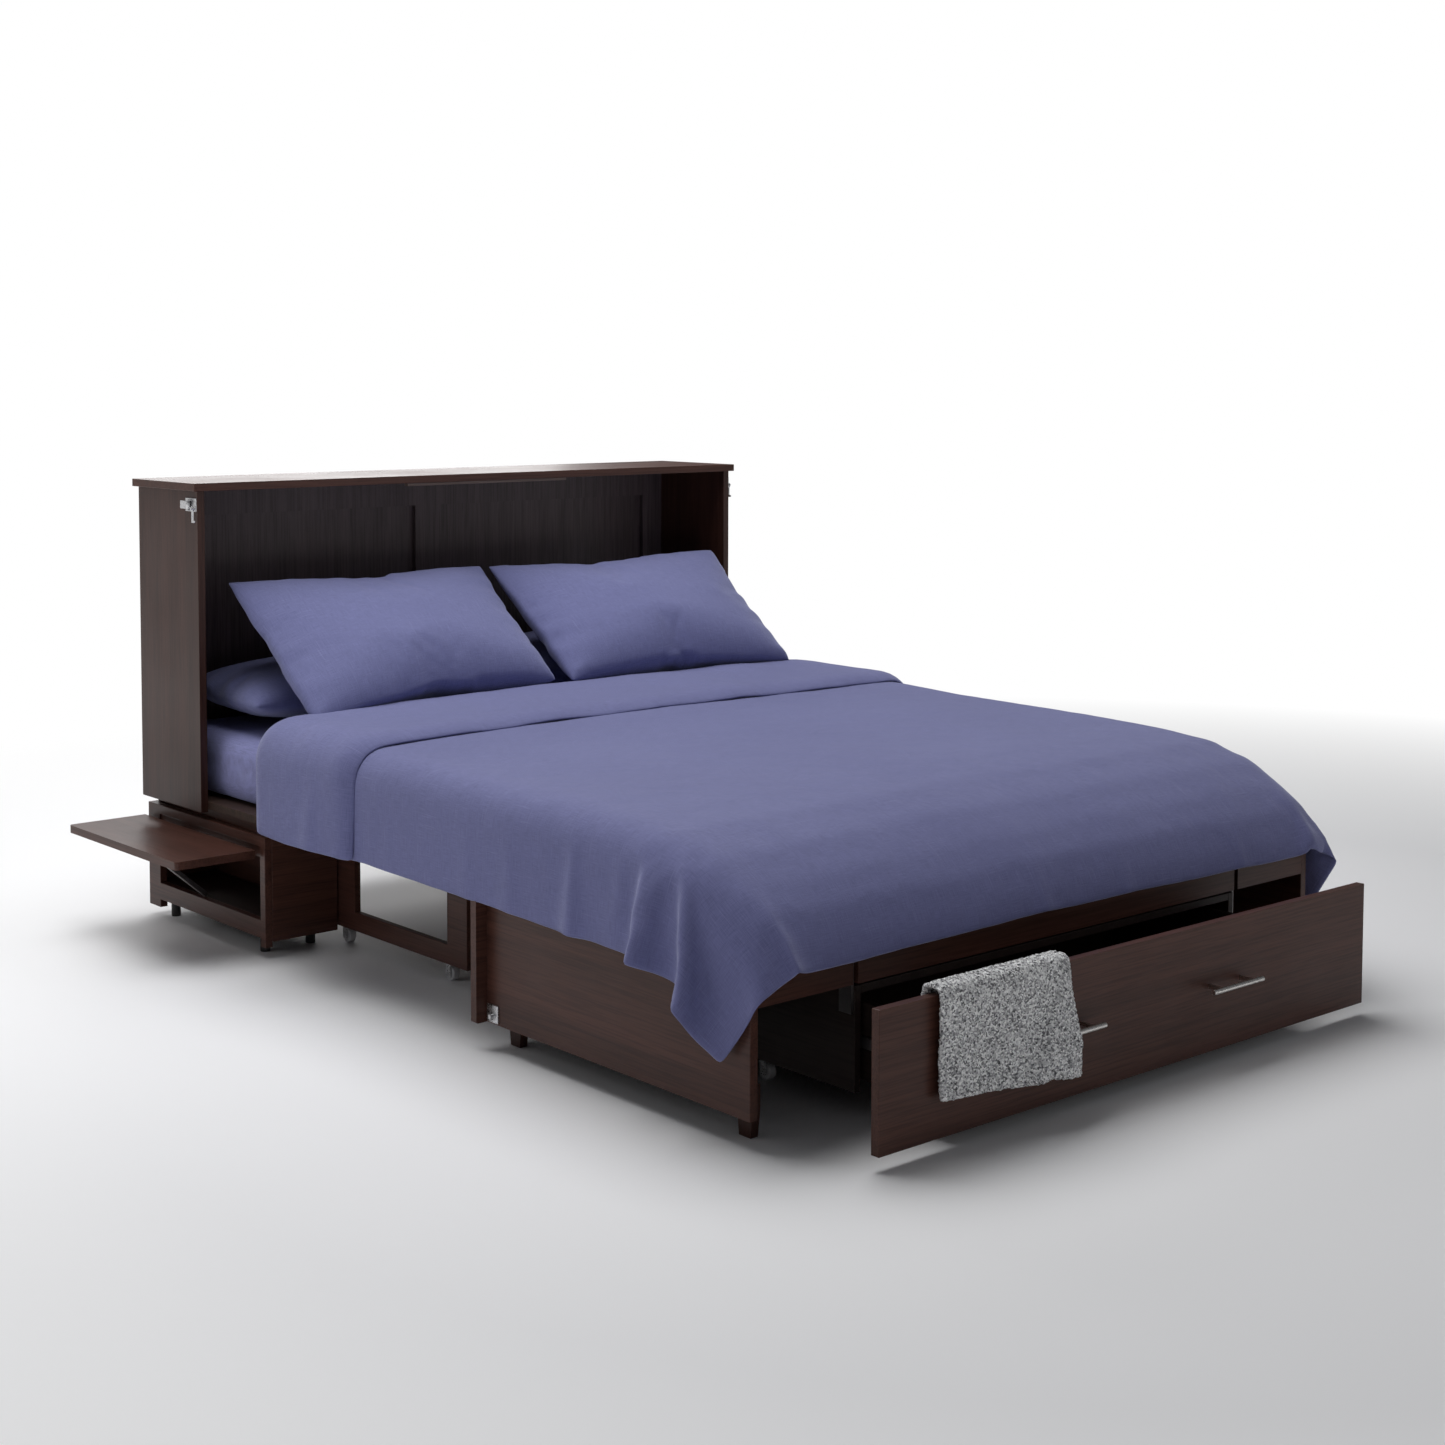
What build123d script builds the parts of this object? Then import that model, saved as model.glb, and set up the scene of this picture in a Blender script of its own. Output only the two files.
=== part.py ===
"""Murphy cabinet bed, opened out for sleeping. Millimetres, +Z up, +Y towards the head.

The chest is split in two. The rear half stands as the headboard with a storage pod each side.
The front half lies down as the foot deck, hinged to a rolling base that holds a full-width drawer.
"""

import math
import os

from build123d import *

os.makedirs("parts", exist_ok=True)

# Driving dimensions
WIDTH = 1640.0  # over the top board
HEIGHT = 1050.0
SPLIT_Y = 903.0  # the plane where the chest opens; the origin is under the middle of the open bed
HEAD_DEPTH = 308.0  # top board of the rear half
BOARD = 18.0
OVERHANG = 12.0  # top board past the side panels
SIDE_BOTTOM = 291.0
DECK_TOP = 315.0
POD_FRONT = -249.0  # distances along the bed are from the split plane
POD_REAR = 305.0
POD_WIDTH = 186.0
POD_OUTER = 791.0
POD_BOTTOM = 24.0
POD_TOP = 272.0
SHELF_WIDTH = 206.0
SHELF_TOP = 243.0
LID_HEAD = -1085.0
LID_FOOT = -1860.0
LID_OUTER = 795.0
LID_BOTTOM = 54.0
MID_OUTER = 600.0
MID_HEAD = -205.0
MID_FOOT = -755.0
BASE_OUTER = 545.0
BASE_HEAD = -1335.0
BASE_FOOT = -1855.0
BASE_TOP = 240.0
DRAWER_OUT = 184.0  # how far the drawer stands open
DRAWER_WIDTH = 1393.0
DRAWER_HEIGHT = 245.0
DRAWER_BOTTOM = 27.0
HANDLE_X = 234.5
HANDLE_Z = 152.0
WHEEL_R = 16.0
MATTRESS = (1514.0, 2027.0, 150.0)
GAP = 0.5  # running clearance between bodies

SIDE_OUTER = WIDTH / 2 - OVERHANG
SIDE_INNER = SIDE_OUTER - BOARD
PANEL_TOP = HEIGHT - BOARD
DRAWER_FACE = LID_FOOT - 2 - BOARD - DRAWER_OUT
DRAWER_REAR_FACE = DRAWER_FACE + BOARD
SIDES = {"left": -1, "right": 1}


def block(x0, x1, y0, y1, z0, z1):
    """A board between two corners, with y counted from the split plane."""
    size = (abs(x1 - x0), abs(y1 - y0), abs(z1 - z0))
    middle = ((x0 + x1) / 2, (y0 + y1) / 2 + SPLIT_Y, (z0 + z1) / 2)
    return Pos(*middle) * Box(*size)


def turned(axis, radius, length, x, y, z):
    """A round bar along axis, centred on a point, with y counted from the split plane."""
    spin = {"x": (0, 90, 0), "y": (90, 0, 0), "z": (0, 0, 0)}[axis]
    return Pos(x, y + SPLIT_Y, z) * Rotation(*spin) * Cylinder(radius, length)


def profile_x(points, x0, x1):
    """A prism along X whose outline is (y, z) points, with y counted from the split plane."""
    outline = [(y + SPLIT_Y, z) for y, z in points]
    face = Plane.YZ.offset(x0) * make_face(Polyline(*outline, close=True))
    return extrude(face, x1 - x0, dir=(1, 0, 0))


def profile_y(points, y0, y1):
    """A prism along Y whose outline is (x, z) points, with y counted from the split plane."""
    plane = Plane(origin=(0, y0 + SPLIT_Y, 0), x_dir=(1, 0, 0), z_dir=(0, -1, 0))
    face = plane * make_face(Polyline(*points, close=True))
    return extrude(face, y1 - y0, dir=(0, 1, 0))


def save(name, *solids):
    """One node: each piece stays its own solid."""
    body = solids[0] if len(solids) == 1 else Compound(children=list(solids))
    export_step(body, f"parts/{name}.step")


# Headboard cabinet
def headboard():
    save("top_board", block(-WIDTH / 2, WIDTH / 2, 0, HEAD_DEPTH, PANEL_TOP, HEIGHT))
    for name, side in SIDES.items():
        panel = block(side * SIDE_INNER, side * SIDE_OUTER, 9, 299, SIDE_BOTTOM, PANEL_TOP)
        save(f"side_panel_{name}", panel)
    back_face = 290.0
    save("back_panel", block(-SIDE_INNER, SIDE_INNER, back_face, 299, DECK_TOP, PANEL_TOP))
    rail_bottom = PANEL_TOP - 75
    frame = [block(-SIDE_INNER, SIDE_INNER, back_face - 14, back_face, rail_bottom, PANEL_TOP)]
    for x0, x1 in ((-SIDE_INNER, -722), (-40, 40), (722, SIDE_INNER)):
        frame.append(block(x0, x1, back_face - 14, back_face, DECK_TOP, rail_bottom))
    save("back_frame", *frame)
    save("finger_pull", block(-243, 243, 2, 16, PANEL_TOP - 7, PANEL_TOP))
    save("head_deck", block(-SIDE_INNER, SIDE_INNER, POD_FRONT, 299, DECK_TOP - BOARD, DECK_TOP))
    boards = []
    for side in SIDES.values():
        boards.append(block(side * 750, side * 768, POD_FRONT, 299, POD_TOP, DECK_TOP - BOARD))
    save("deck_side_boards", *boards)


# Storage pods
NICHE = (-228.0, 248.0, 84.0, 225.0)  # front, rear, bottom and top of the opening


def pods():
    front, rear, bottom, top = NICHE
    inner = POD_OUTER - POD_WIDTH
    fronts, rears, inners, floors, feet = [], [], [], [], []
    for name, side in SIDES.items():
        outer_face = side * POD_OUTER
        back_of_frame = side * (POD_OUTER - BOARD)
        frame = block(outer_face, back_of_frame, POD_FRONT, POD_REAR, POD_BOTTOM, POD_TOP)
        frame -= block(outer_face + side, back_of_frame - side, front, rear, bottom, top)
        toe = block(outer_face + side, back_of_frame - side, front, rear, 0, 43)
        # The upper rail is set back above the shelf, so the shelf's hinge has its own ledge.
        ledge = block(outer_face + side, outer_face - side * 4, front, rear, top, SHELF_TOP + 7)
        save(f"pod_frame_{name}", frame - toe - ledge)
        edges = sorted((back_of_frame, side * inner))
        fronts.append(block(*edges, POD_FRONT, POD_FRONT + BOARD, POD_BOTTOM + 12, POD_TOP))
        rears.append(block(*edges, POD_REAR - BOARD, POD_REAR, POD_BOTTOM + 12, POD_TOP))
        wall = (side * inner, side * (inner + BOARD))
        inside = (POD_FRONT + BOARD, POD_REAR - BOARD)
        inners.append(block(*wall, *inside, POD_BOTTOM + 12, POD_TOP))
        floor_edges = (side * (inner + BOARD), back_of_frame)
        floors.append(block(*floor_edges, *inside, bottom - BOARD, bottom))
        foot_height = bottom - BOARD
        for x in (inner + 33, POD_OUTER - 36):
            for y in (POD_FRONT + 65, POD_REAR - 65):
                feet.append(turned("z", 11, foot_height, side * x, y, foot_height / 2))
    save("pod_front_panels", *fronts)
    save("pod_rear_panels", *rears)
    save("pod_inner_panels", *inners)
    save("pod_floors", *floors)
    save("pod_feet", *feet)


# Flip-up shelves: each hinges on the pod's outer face and a fixed brace bears on the bottom rail
SHELF_HINGE = (POD_OUTER + 7.0, SHELF_TOP - BOARD)
BRACE_LENGTH = 192.0
BRACE_ANGLE = 41.0


def shelves():
    hinges = []
    for name, side in SIDES.items():
        near = SHELF_HINGE[0] + 4.6
        far = POD_OUTER + SHELF_WIDTH
        board = block(side * near, side * far, -228, 299, SHELF_TOP - BOARD, SHELF_TOP)
        corners = board.edges().filter_by(Axis.Z).group_by(Axis.X)[-1 if side > 0 else 0]
        save(f"shelf_{name}", fillet(corners, 8))
        top_x, top_z = POD_OUTER + 135.0, SHELF_TOP - BOARD - 8
        lean = math.radians(BRACE_ANGLE)
        low_x = top_x - BRACE_LENGTH * math.cos(lean)
        low_z = top_z - BRACE_LENGTH * math.sin(lean)
        across = (5 * math.sin(lean), 5 * math.cos(lean))
        strip = [
            (side * (top_x - across[0]), top_z + across[1]),
            (side * (top_x + across[0]), top_z - across[1]),
            (side * (low_x + across[0]), low_z - across[1]),
            (side * (low_x - across[0]), low_z + across[1]),
        ]
        bar = profile_y(strip, 34, 54)
        foot = block(side * (top_x - 18), side * (top_x + 18), 30, 58, top_z + 2, SHELF_TOP - BOARD)
        save(f"brace_{name}", bar + foot)
        for y in (-163, 150):
            pin = turned("y", 4, 60, side * SHELF_HINGE[0], y, SHELF_HINGE[1])
            leaf_x = (side * POD_OUTER, side * SHELF_HINGE[0])
            leaf = block(*leaf_x, y - 30, y + 30, SHELF_HINGE[1] - 2, SHELF_HINGE[1] + 2)
            hinges.append(pin + leaf)
    save("shelf_hinges", *hinges)


# Draw latches on the headboard's sides, and the catches that they hold on the foot section
LATCH_Z = 1000.0


def latches():
    plates, catches = [], []
    for name, side in SIDES.items():
        face = SIDE_OUTER
        plate = block(side * face, side * (face + 3), 12, 60, LATCH_Z - 15, LATCH_Z + 15)
        pin_x = side * (face + 8)
        lever_pin = turned("z", 3, 26, pin_x, 38, LATCH_Z)
        ear_x = (side * face, side * (face + 12))
        ears = [block(*ear_x, 33, 43, LATCH_Z + z, LATCH_Z + z + 3.5) for z in (9.5, -13)]
        hook_pin = turned("x", 3, 10, side * (face + 8), 18, LATCH_Z - 8)
        plates.append(plate + lever_pin + hook_pin + ears[0] + ears[1])
        lever = block(side * (face + 8.5), side * (face + 12.5), 38, 68, LATCH_Z - 9, LATCH_Z + 9)
        knuckle = turned("z", 4.8, 18, pin_x, 38, LATCH_Z)
        lever = lever + knuckle - turned("z", 3.1, 40, pin_x, 38, LATCH_Z)
        save(f"latch_lever_{name}", lever)
        eye = turned("x", 6, 3, side * (face + 8), 18, LATCH_Z - 8)
        arm = block(side * (face + 6.5), side * (face + 9.5), 15.5, 20.5, LATCH_Z - 36, LATCH_Z - 8)
        tip = block(side * (face + 6.5), side * (face + 9.5), 9, 20.5, LATCH_Z - 40, LATCH_Z - 35)
        hook = eye + arm + tip - turned("x", 3.1, 20, side * (face + 8), 18, LATCH_Z - 8)
        save(f"latch_hook_{name}", hook)
        base = block(side * LID_OUTER, side * (LID_OUTER + 3), LID_HEAD - 58, LID_HEAD - 22, 58, 92)
        peg = turned("x", 5, 9, side * (LID_OUTER + 6), LID_HEAD - 40, 70)
        catches.append(base + peg)
    save("latch_plates", *plates)
    save("latch_catches", *catches)


# Foot section: the chest's front, lying face up
def leg(x, y):
    """One tapered leg under the foot section, wider at its top."""
    outline = [(y - 21, LID_BOTTOM), (y + 21, LID_BOTTOM), (y + 15, 0), (y - 15, 0)]
    tall = [(y - 21, LID_BOTTOM), (y - 21, LID_BOTTOM + 40), (y + 21, LID_BOTTOM + 40)]
    inner = min(abs(x - 9), abs(x + 9))
    side = 1 if x > 0 else -1
    lower = profile_x(outline, x - 9, x + 9)
    upper = block(side * inner, side * (LID_OUTER - BOARD), y - 21, y + 21, LID_BOTTOM, tall[1][1])
    return lower + upper


def foot_section():
    under = DECK_TOP - BOARD
    inner = LID_OUTER - BOARD
    foot = LID_FOOT + BOARD
    head = LID_HEAD - BOARD
    save("lid_deck", block(-inner, inner, foot, head, under, DECK_TOP))
    for name, side in SIDES.items():
        panel = block(side * inner, side * LID_OUTER, LID_FOOT, head, LID_BOTTOM, DECK_TOP)
        save(f"lid_side_{name}", panel)
    end = block(-WIDTH / 2, WIDTH / 2, head, LID_HEAD, LID_BOTTOM, DECK_TOP)
    save("lid_end_board", fillet(end.edges().filter_by(Axis.Y), 4))
    rail = block(-inner, inner, LID_FOOT, foot, DECK_TOP - 70, DECK_TOP)
    for side in SIDES.values():
        slot = (side * (BASE_OUTER - 3), side * (BASE_OUTER + 9))
        rail -= block(*slot, LID_FOOT - 1, foot + 1, DECK_TOP - 71, HINGE_Z + 9)
        rail -= turned("x", 3.1, 24, side * (BASE_OUTER + 3), HINGE_Y, HINGE_Z)
    save("foot_rail", rail)
    legs = [leg(side * 735, y) for side in SIDES.values() for y in (LID_HEAD - 40, -1790)]
    save("lid_legs", *legs)


# Rolling base with the drawer
HINGE_Y = -1845.0
HINGE_Z = 290.0


def caster_fork(x, y, top):
    """A fixed caster: its plate, two cheeks and the axle that its wheel turns on."""
    plate = block(x - 13, x + 13, y - 20, y + 20, top - 3, top)
    cheeks = [block(x + s * 11, x + s * 13, y - 8, y + 8, WHEEL_R - 5, top - 3) for s in (-1, 1)]
    axle = turned("x", 3, 24, x, y, WHEEL_R)
    return plate + cheeks[0] + cheeks[1] + axle


def wheel(x, y):
    """A rimmed wheel with a bore that clears its axle."""
    tread = turned("x", WHEEL_R, 16, x, y, WHEEL_R)
    tread = fillet(tread.edges().filter_by(GeomType.CIRCLE), 3)
    return tread - turned("x", 3.05, 30, x, y, WHEEL_R)


BASE_WHEELS = {"front": -1587.0, "rear": -1375.0}
MID_WHEELS = {"front": -655.0, "rear": -240.0}


def rolling_base():
    sides, forks, outers, pivots = [], [], [], []
    inner = BASE_OUTER - 15
    for side in SIDES.values():
        board = block(side * inner, side * BASE_OUTER, BASE_FOOT, BASE_HEAD, 50, BASE_TOP)
        sides.append(board)
        sill = block(side * 485, side * inner, BASE_HEAD - 285, BASE_HEAD, 50, 60)
        sides.append(sill)
        outers.append(block(side * (inner - 6), side * inner, BASE_FOOT + 8, BASE_HEAD - 20, 120, 150))
        for y in BASE_WHEELS.values():
            forks.append(caster_fork(side * 504, y, 50))
        plate = (side * BASE_OUTER, side * (BASE_OUTER + 6))
        foot = block(*plate, HINGE_Y - 7, HINGE_Y + 24, 190, 236)
        post = foot + block(*plate, HINGE_Y - 7, HINGE_Y + 7, 236, HINGE_Z)
        eye = turned("x", 7, 6, side * (BASE_OUTER + 3), HINGE_Y, HINGE_Z)
        pin = turned("x", 3, 20, side * (BASE_OUTER + 3), HINGE_Y, HINGE_Z)
        pivots.append(post + eye + pin)
    save("base_sides", *sides)
    front_rail = block(-inner, inner, BASE_FOOT, BASE_FOOT + 60, BASE_TOP - 15, BASE_TOP)
    rear_wall = block(-inner, inner, BASE_HEAD - 15, BASE_HEAD, 64, BASE_TOP)
    save("base_cross_rails", front_rail, rear_wall)
    save("base_caster_forks", *forks)
    save("runner_outers", *outers)
    save("lid_pivots", *pivots)
    for name, y in BASE_WHEELS.items():
        save(f"base_wheels_{name}", wheel(-504, y), wheel(504, y))


def middle_section():
    under = DECK_TOP - BOARD - 2 * GAP - BOARD
    forks = []
    for name, side in SIDES.items():
        frame = block(side * (MID_OUTER - 15), side * MID_OUTER, MID_FOOT, MID_HEAD, 45, under)
        window = block(side * (MID_OUTER - 30), side * (MID_OUTER + 9), -682, -315, 88, under - 45)
        ledger = block(side * 553, side * (MID_OUTER - 15), MID_FOOT, MID_HEAD, 45, 57)
        save(f"mid_frame_{name}", frame - window + ledger)
        for y in MID_WHEELS.values():
            forks.append(caster_fork(side * 568, y, 45))
    save("mid_deck", block(-MID_OUTER, MID_OUTER, MID_FOOT, MID_HEAD, under, under + BOARD))
    save("mid_caster_forks", *forks)
    for name, y in MID_WHEELS.items():
        save(f"mid_wheels_{name}", wheel(-568, y), wheel(568, y))


def drawer():
    half = DRAWER_WIDTH / 2
    top = DRAWER_BOTTOM + DRAWER_HEIGHT
    save("drawer_front", block(-half, half, DRAWER_FACE, DRAWER_REAR_FACE, DRAWER_BOTTOM, top))
    side_outer = BASE_OUTER - 28
    side_inner = side_outer - 15
    rear = DRAWER_REAR_FACE + 480
    sides, runners = [], []
    for name, side in SIDES.items():
        sides.append(block(side * side_inner, side * side_outer, DRAWER_REAR_FACE, rear, 66, 205))
        runner_x = (side * side_outer, side * (side_outer + 6))
        runners.append(block(*runner_x, DRAWER_REAR_FACE + 4, rear, 125, 145))
        handle = turned("x", 5, 154, side * HANDLE_X, DRAWER_FACE - 30, HANDLE_Z)
        handle = fillet(handle.edges().filter_by(GeomType.CIRCLE), 1.2)
        for offset in (-48, 48):
            handle += turned("y", 4.5, 30, side * HANDLE_X + offset, DRAWER_FACE - 15, HANDLE_Z)
        save(f"handle_{name}", handle)
    save("drawer_sides", *sides)
    save("drawer_back", block(-side_inner, side_inner, rear - 15, rear, 66, 205))
    save("drawer_bottom", block(-side_inner, side_inner, DRAWER_REAR_FACE, rear - 15, 72, 80))
    save("runner_inners", *runners)


# Soft goods, as plain closed solids
def pillow(x, y, z, lean, length, height, thick):
    """A pillow as a prism across the bed: thick in the middle, thin at its two long edges."""
    rim = 12.0
    outline = [
        (-height / 2, -rim),
        (-height / 4, -thick / 2),
        (height / 4, -thick / 2),
        (height / 2, -rim),
        (height / 2, rim),
        (height / 4, thick / 2),
        (-height / 4, thick / 2),
        (-height / 2, rim),
    ]
    c, s = math.cos(math.radians(lean)), math.sin(math.radians(lean))
    placed = [(y + a * c - b * s, z + a * s + b * c) for a, b in outline]
    return profile_x(placed, x - length / 2, x + length / 2)


def soft_goods():
    width, length, thick = MATTRESS
    low = DECK_TOP + GAP
    head = 264.0
    foot = head - length
    top = low + thick
    save("mattress", block(-width / 2, width / 2, foot, head, low, top))
    skin = 2.0
    cover = block(-width / 2 - skin, width / 2 + skin, foot - skin, head + skin, low, top + skin)
    cover -= block(-width / 2, width / 2, foot, head, low - 1, top)
    save("fitted_sheet", cover)
    bed = top + skin + GAP
    for name, side in SIDES.items():
        save(f"pillow_rear_{name}", pillow(side * 375, 70, bed + 82, 0, 700, 380, 160))
        save(f"pillow_front_{name}", pillow(side * 372, -158, bed + 220, 36, 715, 470, 110))
    head_hem, foot_hem = -275.0, LID_FOOT - 38.0
    wide, drop, fill, hang = 840.0, 278.0, 36.0, 19.0
    quilt = block(-wide, wide, foot_hem, head_hem, bed, bed + fill)
    sides_low = block(-wide, wide, foot_hem, head_hem, drop, bed)
    hollow = block(-wide + hang, wide - hang, foot_hem + 30, head_hem + 1, drop - 1, bed)
    fold = block(-wide, wide, -665, head_hem, bed + fill, bed + fill + 16)
    save("comforter", quilt + (sides_low - hollow) + fold)
    top_edge = DRAWER_BOTTOM + DRAWER_HEIGHT
    proud = 42.0  # it hangs in front of the left handle
    outline = [
        (DRAWER_FACE - 8, top_edge + 9),
        (DRAWER_FACE - proud - 8, 172),
        (DRAWER_FACE - proud - 8, 92),
        (DRAWER_FACE - proud, 92),
        (DRAWER_FACE - proud, 168),
        (DRAWER_FACE, top_edge),
        (DRAWER_REAR_FACE, top_edge),
        (DRAWER_REAR_FACE, 208),
        (DRAWER_REAR_FACE + 5, 208),
        (DRAWER_REAR_FACE + 5, top_edge + 9),
    ]
    save("throw", profile_x(outline, -575, -232))


headboard()
pods()
shelves()
latches()
foot_section()
rolling_base()
middle_section()
drawer()
soft_goods()
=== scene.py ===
import math

import bmesh
import bpy
import numpy as np
from mathutils import Matrix, Vector, noise


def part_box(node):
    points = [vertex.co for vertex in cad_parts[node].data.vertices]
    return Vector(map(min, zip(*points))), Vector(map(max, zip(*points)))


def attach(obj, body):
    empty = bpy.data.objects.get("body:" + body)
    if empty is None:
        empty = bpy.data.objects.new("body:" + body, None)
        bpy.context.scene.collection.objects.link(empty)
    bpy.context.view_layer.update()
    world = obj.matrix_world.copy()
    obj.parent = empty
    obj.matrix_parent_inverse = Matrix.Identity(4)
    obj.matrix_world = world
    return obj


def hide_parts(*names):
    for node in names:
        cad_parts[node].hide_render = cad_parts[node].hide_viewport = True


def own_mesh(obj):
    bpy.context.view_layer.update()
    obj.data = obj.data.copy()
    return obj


SPLIT = 0.903  # row y of the cabinet's front edge; depths below are measured from it
IMAGE = 1445  # the photograph's side, in pixels
SENSOR = 36
FOCAL = 2229.72  # pixels

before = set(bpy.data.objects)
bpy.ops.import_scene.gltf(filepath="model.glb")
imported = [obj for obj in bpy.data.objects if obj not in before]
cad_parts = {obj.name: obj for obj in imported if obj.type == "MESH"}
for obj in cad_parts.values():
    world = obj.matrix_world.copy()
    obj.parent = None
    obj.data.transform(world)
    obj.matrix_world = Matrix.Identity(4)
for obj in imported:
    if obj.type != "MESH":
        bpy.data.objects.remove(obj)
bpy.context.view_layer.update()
scene = bpy.context.scene


# ---------------------------------------------------------------- camera and light
def make_camera():
    data = bpy.data.cameras.new("camera")
    cam = bpy.data.objects.new("camera", data)
    scene.collection.objects.link(cam)
    yaw, pitch, roll = (math.radians(a) for a in (40.2498, -3.6862, 0.0654))
    forward = Vector((math.sin(yaw) * math.cos(pitch), math.cos(yaw) * math.cos(pitch), math.sin(pitch)))
    right = Vector((math.cos(yaw), -math.sin(yaw), 0))
    up = right.cross(forward)
    side = right * math.cos(roll) + up * math.sin(roll)
    top = up * math.cos(roll) - right * math.sin(roll)
    turn = Matrix((side, top, -forward)).transposed().to_4x4()
    cam.matrix_world = Matrix.Translation((-3.246, -4.5721 + SPLIT, 1.3121)) @ turn
    data.sensor_width = SENSOR
    data.lens = FOCAL / IMAGE * SENSOR
    data.shift_x = 42.79 / IMAGE
    data.shift_y = -210.27 / IMAGE
    data.clip_end = 60
    scene.camera = cam


def area_light(name, place, target, size, watts):
    data = bpy.data.lights.new(name, "AREA")
    data.shape = "RECTANGLE"
    data.size, data.size_y = size
    data.energy = watts
    light = bpy.data.objects.new(name, data)
    light.location = place
    light.rotation_euler = (Vector(target) - Vector(place)).to_track_quat("-Z", "Y").to_euler()
    scene.collection.objects.link(light)


def make_world():
    world = bpy.data.worlds.new("studio")
    scene.world = world
    world.use_nodes = True
    nodes, links = world.node_tree.nodes, world.node_tree.links
    nodes.clear()
    seen = nodes.new("ShaderNodeBackground")
    seen.inputs["Color"].default_value = (1, 1, 1, 1)
    lit = nodes.new("ShaderNodeBackground")
    lit.inputs["Color"].default_value = (0.93, 0.95, 1, 1)
    lit.inputs["Strength"].default_value = 0.11
    path = nodes.new("ShaderNodeLightPath")
    mix = nodes.new("ShaderNodeMixShader")
    out = nodes.new("ShaderNodeOutputWorld")
    links.new(path.outputs["Is Camera Ray"], mix.inputs[0])
    links.new(lit.outputs[0], mix.inputs[1])
    links.new(seen.outputs[0], mix.inputs[2])
    links.new(mix.outputs[0], out.inputs[0])


# ---------------------------------------------------------------- materials
class Shader:
    """A material under construction: its Principled shader and short calls that add nodes."""

    def __init__(self, name, colour, rough, **sockets):
        self.material = bpy.data.materials.new(name)
        self.material.use_nodes = True
        self.material.diffuse_color = (*colour, 1)
        self.nodes = self.material.node_tree.nodes
        self.links = self.material.node_tree.links
        self.surface = self.nodes["Principled BSDF"]
        self.surface.inputs["Base Color"].default_value = (*colour, 1)
        self.surface.inputs["Roughness"].default_value = rough
        for socket, value in sockets.items():
            self.surface.inputs[socket.replace("_", " ")].default_value = value

    def coords(self, scale, kind="Object"):
        place = self.nodes.new("ShaderNodeTexCoord")
        mapping = self.nodes.new("ShaderNodeMapping")
        mapping.inputs["Scale"].default_value = scale
        self.links.new(place.outputs[kind], mapping.inputs["Vector"])
        return mapping.outputs[0]

    def noise(self, scale, size=1.0, detail=4.0, rough=0.55, kind="Object", distort=0.0):
        node = self.nodes.new("ShaderNodeTexNoise")
        node.inputs["Scale"].default_value = size
        node.inputs["Detail"].default_value = detail
        node.inputs["Roughness"].default_value = rough
        node.inputs["Distortion"].default_value = distort
        self.links.new(self.coords(scale, kind), node.inputs["Vector"])
        return node.outputs[0]

    def ramp(self, value, stops):
        node = self.nodes.new("ShaderNodeValToRGB")
        ramp = node.color_ramp
        ramp.elements[0].position, ramp.elements[0].color = stops[0][0], (*stops[0][1], 1)
        ramp.elements[1].position, ramp.elements[1].color = stops[-1][0], (*stops[-1][1], 1)
        for position, colour in stops[1:-1]:
            ramp.elements.new(position).color = (*colour, 1)
        self.links.new(value, node.inputs[0])
        return node.outputs[0]

    def remap(self, value, low, high, out_low, out_high):
        node = self.nodes.new("ShaderNodeMapRange")
        for socket, number in zip(("From Min", "From Max", "To Min", "To Max"), (low, high, out_low, out_high)):
            node.inputs[socket].default_value = number
        self.links.new(value, node.inputs["Value"])
        return node.outputs[0]

    def math(self, kind, a, b):
        node = self.nodes.new("ShaderNodeMath")
        node.operation = kind
        for socket, value in zip(node.inputs, (a, b)):
            if isinstance(value, (int, float)):
                socket.default_value = value
            else:
                self.links.new(value, socket)
        return node.outputs[0]

    def multiply(self, a, b, factor=1.0):
        node = self.nodes.new("ShaderNodeMix")
        node.data_type = "RGBA"
        node.blend_type = "MULTIPLY"
        node.inputs[0].default_value = factor
        self.links.new(a, node.inputs[6])
        self.links.new(b, node.inputs[7])
        return node.outputs[2]

    def bump(self, height, distance, strength=1.0, under=None):
        node = self.nodes.new("ShaderNodeBump")
        node.inputs["Distance"].default_value = distance
        node.inputs["Strength"].default_value = strength
        self.links.new(height, node.inputs["Height"])
        if under is not None:
            self.links.new(under, node.inputs["Normal"])
        return node.outputs[0]

    def put(self, socket, output):
        self.links.new(output, self.surface.inputs[socket])


def wood(name, colour, rough=0.34, grain="x"):
    """Stained, lacquered veneer with fine straight grain along one axis."""
    dark = tuple(c * 0.78 for c in colour)
    light = tuple(c * 1.24 for c in colour)
    s = Shader(name, colour, rough, Specular_IOR_Level=0.2, Coat_Weight=0.03, Coat_Roughness=0.22)
    broad = {"x": (0.8, 26, 26), "y": (26, 0.8, 26), "z": (26, 26, 0.8)}[grain]
    fine = {"x": (7, 260, 260), "y": (260, 7, 260), "z": (260, 260, 7)}[grain]
    figure = s.noise(broad, 1.0, 5, 0.6, distort=0.6)
    pores = s.noise(fine, 1.0, 3, 0.6)
    tone = s.ramp(figure, [(0.32, dark), (0.5, colour), (0.72, light)])
    fleck = s.ramp(pores, [(0.36, (0.6, 0.57, 0.56)), (0.56, (1, 1, 1))])
    s.put("Base Color", s.multiply(tone, fleck, 0.75))
    smear = s.noise((3, 3, 3), 1.0, 3, 0.6)
    s.put("Roughness", s.remap(smear, 0.3, 0.7, rough - 0.05, rough + 0.08))
    s.put("Normal", s.bump(pores, 0.00035, 0.35))
    return s.material


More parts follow.
